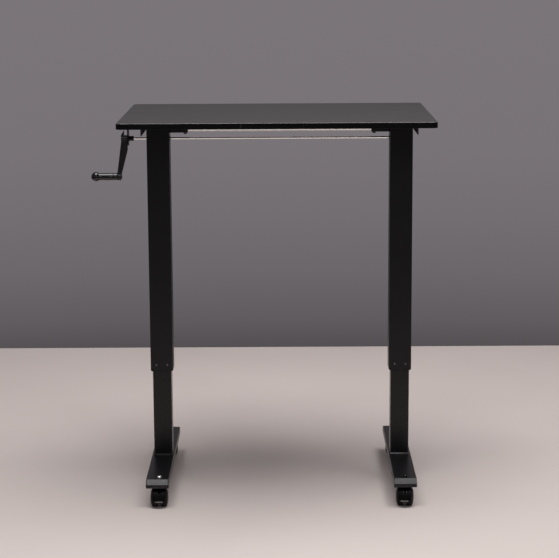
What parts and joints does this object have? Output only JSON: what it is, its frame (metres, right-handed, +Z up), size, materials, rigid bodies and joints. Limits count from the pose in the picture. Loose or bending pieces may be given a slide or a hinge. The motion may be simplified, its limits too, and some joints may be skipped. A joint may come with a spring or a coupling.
{
  "type": "height adjustable standing desk",
  "caption": "Crank-driven height adjustable desk: dark rectangular top on two telescoping square columns, each on a flat foot with twin-wheel casters.",
  "frame": {"origin": "centre of the whole desk's footprint box, on the floor under the casters", "axes": "+Z up, +X to the user's right, +Y away from the user, who is on the -Y side; the crank is on the -X side"},
  "size_m": [0.94, 0.6, 1.051],
  "materials": {
    "charcoal_laminate": "fine matt laminate",
    "black_powder_coat": "fine satin texture",
    "bright_zinc": "satin",
    "polished_steel": "polished",
    "dark_steel": "oiled",
    "black_fastener": "black oxide",
    "black_plastic": "fine grain",
    "gloss_black_plastic": "gloss",
    "natural_plastic": "natural",
    "wheel_plastic": "matt",
    "chrome_nut": "bright"
  },
  "bodies": {
    "top_frame": {"tabletop": "charcoal_laminate", "crossbeam_rail": "bright_zinc", "crank_hanger": "black_powder_coat", "left_side_arm": "black_powder_coat", "left_crossbeam_channel": "black_powder_coat", "left_clamp_screw": "black_fastener", "left_outer_tube": "black_powder_coat", "left_gearbox_frame": "dark_steel", "left_lower_glide": "black_plastic", "left_glide_screw_outer": "black_fastener", "left_glide_screw_inner": "black_fastener", "right_side_arm": "black_powder_coat", "right_crossbeam_channel": "black_powder_coat", "right_clamp_screw": "black_fastener", "right_outer_tube": "black_powder_coat", "right_gearbox_frame": "dark_steel", "right_lower_glide": "black_plastic", "right_glide_screw_outer": "black_fastener", "right_glide_screw_inner": "black_fastener"},
    "left_leg": {"left_inner_tube": "black_powder_coat", "left_upper_glide": "natural_plastic", "left_lead_nut": "natural_plastic", "left_base_plate": "black_powder_coat", "left_foot_beam": "black_powder_coat", "left_front_end_cap": "black_plastic", "left_rear_end_cap": "black_plastic", "front_left_caster_stem": "chrome_nut", "rear_left_caster_stem": "black_fastener"},
    "right_leg": {"right_inner_tube": "black_powder_coat", "right_upper_glide": "natural_plastic", "right_lead_nut": "natural_plastic", "right_base_plate": "black_powder_coat", "right_foot_beam": "black_powder_coat", "right_front_end_cap": "black_plastic", "right_rear_end_cap": "black_plastic", "front_right_caster_stem": "black_fastener", "rear_right_caster_stem": "black_fastener"},
    "crank": {"drive_shaft": "polished_steel", "left_drive_bevel": "dark_steel", "right_drive_bevel": "dark_steel", "shaft_coupler": "black_fastener", "crank_arm": "black_plastic", "grip_axle": "dark_steel"},
    "grip": {"crank_grip": "gloss_black_plastic"},
    "left_screw": {"left_lead_screw": "polished_steel", "left_driven_bevel": "dark_steel"},
    "right_screw": {"right_lead_screw": "polished_steel", "right_driven_bevel": "dark_steel"},
    "front_left_fork": {"front_left_caster_hood": "black_plastic"},
    "front_left_wheels": {"front_left_caster_wheels": "wheel_plastic"},
    "front_left_brake": {"front_left_brake_lever": "black_plastic"},
    "front_right_fork": {"front_right_caster_hood": "black_plastic"},
    "front_right_wheels": {"front_right_caster_wheels": "wheel_plastic"},
    "front_right_brake": {"front_right_brake_lever": "black_plastic"},
    "rear_left_fork": {"rear_left_caster_hood": "black_plastic"},
    "rear_left_wheels": {"rear_left_caster_wheels": "wheel_plastic"},
    "rear_left_brake": {"rear_left_brake_lever": "black_plastic"},
    "rear_right_fork": {"rear_right_caster_hood": "black_plastic"},
    "rear_right_wheels": {"rear_right_caster_wheels": "wheel_plastic"},
    "rear_right_brake": {"rear_right_brake_lever": "black_plastic"}
  },
  "joints": [
    {"name": "left_lift", "type": "slide", "parent": "top_frame", "child": "left_leg", "axis": [0, 0, -1], "range_m": [-0.23, 0.22]},
    {"name": "right_lift", "type": "slide", "parent": "top_frame", "child": "right_leg", "axis": [0, 0, -1], "range_m": [-0.23, 0.22]},
    {"name": "crank_turn", "type": "hinge", "parent": "top_frame", "child": "crank", "pos_m": [-0.3663, 0, 0.9815], "axis": [1, 0, 0], "range_deg": [-16562, 15842]},
    {"name": "left_screw_turn", "type": "hinge", "parent": "top_frame", "child": "left_screw", "pos_m": [-0.2805, 0, 0.9815], "axis": [0, 0, 1], "range_deg": [-16562, 15842]},
    {"name": "right_screw_turn", "type": "hinge", "parent": "top_frame", "child": "right_screw", "pos_m": [0.3925, 0, 0.9815], "axis": [0, 0, 1], "range_deg": [-16562, 15842]},
    {"name": "grip_spin", "type": "hinge", "parent": "crank", "child": "grip", "pos_m": [-0.434, 0, 0.875], "axis": [1, 0, 0], "continuous": true},
    {"name": "front_left_swivel", "type": "hinge", "parent": "left_leg", "child": "front_left_fork", "pos_m": [-0.2775, -0.248, 0.05], "axis": [0, 0, 1], "continuous": true},
    {"name": "front_left_roll", "type": "hinge", "parent": "front_left_fork", "child": "front_left_wheels", "pos_m": [-0.2775, -0.256, 0.025], "axis": [1, 0, 0], "continuous": true},
    {"name": "front_left_brake_press", "type": "hinge", "parent": "front_left_fork", "child": "front_left_brake", "pos_m": [-0.2775, -0.256, 0.025], "axis": [1, 0, 0], "range_deg": [0, 14]},
    {"name": "front_right_swivel", "type": "hinge", "parent": "right_leg", "child": "front_right_fork", "pos_m": [0.3937, -0.248, 0.05], "axis": [0, 0, 1], "continuous": true},
    {"name": "front_right_roll", "type": "hinge", "parent": "front_right_fork", "child": "front_right_wheels", "pos_m": [0.393, -0.25597, 0.025], "axis": [0.9962, -0.0872, 0], "continuous": true},
    {"name": "front_right_brake_press", "type": "hinge", "parent": "front_right_fork", "child": "front_right_brake", "pos_m": [0.393, -0.25597, 0.025], "axis": [0.9962, -0.0872, 0], "range_deg": [0, 14]},
    {"name": "rear_left_swivel", "type": "hinge", "parent": "left_leg", "child": "rear_left_fork", "pos_m": [-0.2817, 0.254, 0.05], "axis": [0, 0, 1], "continuous": true},
    {"name": "rear_left_roll", "type": "hinge", "parent": "rear_left_fork", "child": "rear_left_wheels", "pos_m": [-0.28073, 0.24606, 0.025], "axis": [0.9925, 0.1219, 0], "continuous": true},
    {"name": "rear_left_brake_press", "type": "hinge", "parent": "rear_left_fork", "child": "rear_left_brake", "pos_m": [-0.28073, 0.24606, 0.025], "axis": [0.9925, 0.1219, 0], "range_deg": [0, 14]},
    {"name": "rear_right_swivel", "type": "hinge", "parent": "right_leg", "child": "rear_right_fork", "pos_m": [0.3937, 0.254, 0.05], "axis": [0, 0, 1], "continuous": true},
    {"name": "rear_right_roll", "type": "hinge", "parent": "rear_right_fork", "child": "rear_right_wheels", "pos_m": [0.39314, 0.24602, 0.025], "axis": [0.9976, -0.0698, 0], "continuous": true},
    {"name": "rear_right_brake_press", "type": "hinge", "parent": "rear_right_fork", "child": "rear_right_brake", "pos_m": [0.39314, 0.24602, 0.025], "axis": [0.9976, -0.0698, 0], "range_deg": [0, 14]}
  ],
  "couplings": [
    {"joint": "right_lift", "follows": "left_lift", "ratio": 1},
    {"joint": "crank_turn", "follows": "left_lift", "rad_per_m": 1256.6},
    {"joint": "left_screw_turn", "follows": "left_lift", "rad_per_m": 1256.6},
    {"joint": "right_screw_turn", "follows": "left_lift", "rad_per_m": 1256.6}
  ]
}
